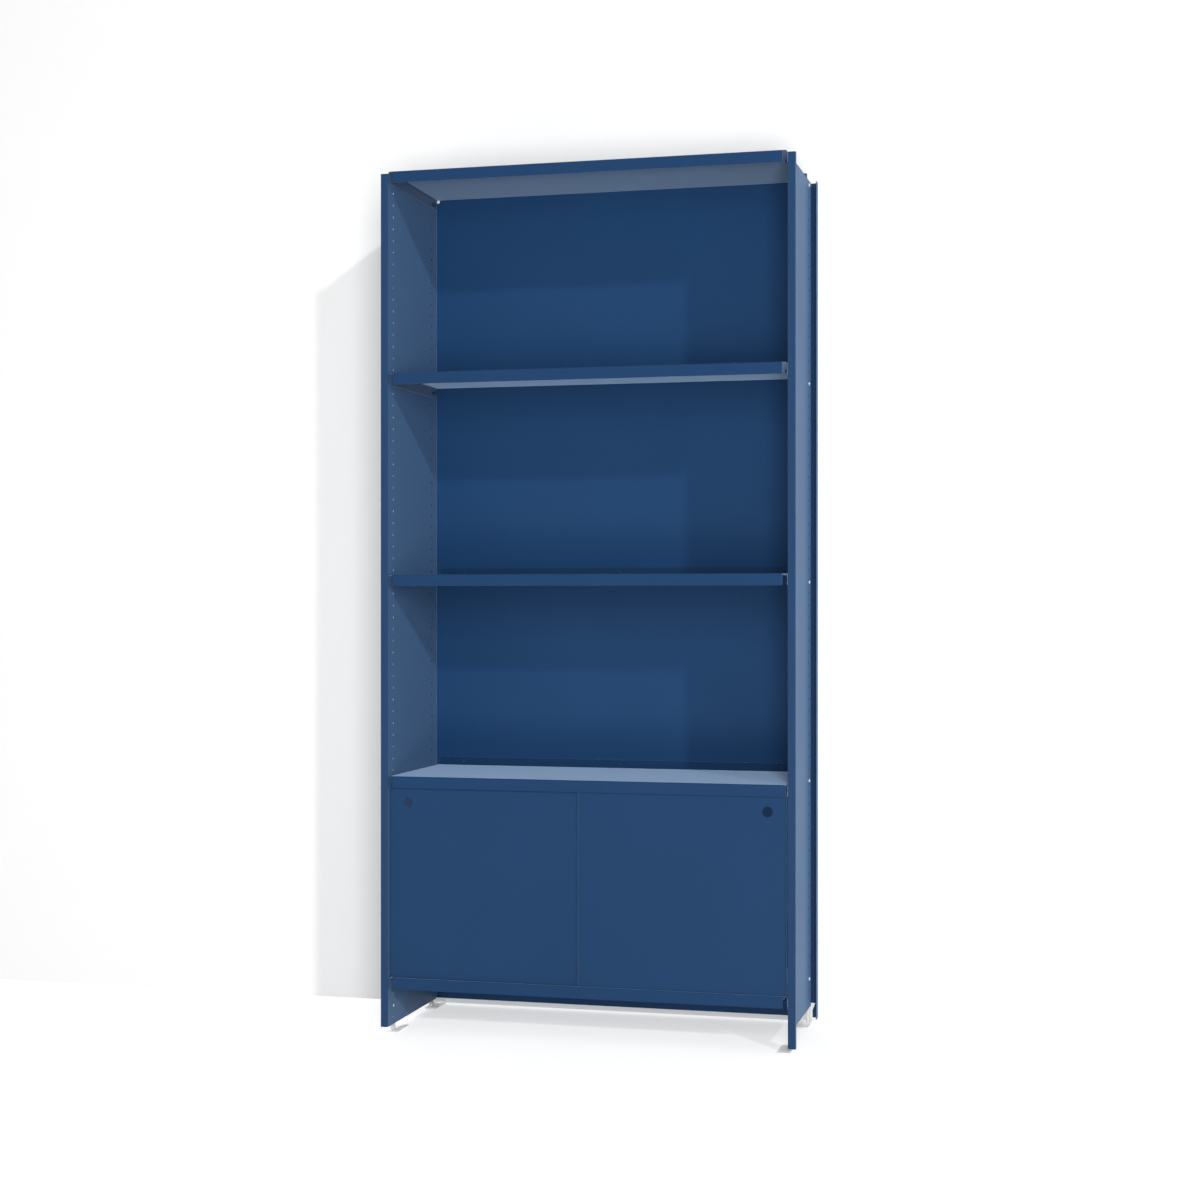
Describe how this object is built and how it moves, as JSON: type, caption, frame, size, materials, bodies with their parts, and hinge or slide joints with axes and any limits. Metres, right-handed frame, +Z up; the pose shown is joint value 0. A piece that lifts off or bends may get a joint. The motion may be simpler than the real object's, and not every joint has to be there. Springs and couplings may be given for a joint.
{
  "type": "shelving bookcase with sliding doors",
  "caption": "Free-standing sheet steel bookcase with perforated side panels, open shelves and a lower cabinet behind two sliding doors.",
  "frame": {"origin": "on the floor, in the middle of the unit's width and depth", "axes": "+Z up, -Y to the front, +X to the right as seen from the front"},
  "size_m": [0.988, 0.36, 2.052],
  "materials": {
    "panel_paint": "satin powder coat",
    "shelf_paint": "satin powder coat",
    "door_paint": "satin powder coat",
    "zinc": "bright zinc plate",
    "track_plastic": "extruded, coloured like the paint",
    "foot_plastic": "moulded, light grey"
  },
  "bodies": {
    "frame": {"left_side_panel": "panel_paint", "right_side_panel": "panel_paint", "cabinet_floor_shelf": "shelf_paint", "cabinet_top_shelf": "shelf_paint", "middle_shelf": "shelf_paint", "upper_shelf": "shelf_paint", "top_shelf": "shelf_paint", "back_panel": "shelf_paint", "back_rivets": "shelf_paint", "cabinet_floor_shelf_bolts": "zinc", "cabinet_top_shelf_bolts": "zinc", "middle_shelf_bolts": "zinc", "upper_shelf_bolts": "zinc", "top_shelf_bolts": "zinc", "cabinet_floor_shelf_inserts": "shelf_paint", "cabinet_top_shelf_inserts": "shelf_paint", "middle_shelf_inserts": "shelf_paint", "upper_shelf_inserts": "shelf_paint", "top_shelf_inserts": "shelf_paint", "upper_door_track": "track_plastic", "lower_door_track": "track_plastic", "front_left_foot": "foot_plastic", "front_right_foot": "foot_plastic", "rear_left_foot": "foot_plastic", "rear_right_foot": "foot_plastic"},
    "left_door": {"left_door": "door_paint"},
    "right_door": {"right_door": "door_paint"}
  },
  "joints": [
    {"name": "left_door_slide", "type": "slide", "parent": "frame", "child": "left_door", "axis": [1, 0, 0], "range_m": [0, 0.4607]},
    {"name": "right_door_slide", "type": "slide", "parent": "frame", "child": "right_door", "axis": [-1, 0, 0], "range_m": [0, 0.4607]}
  ]
}
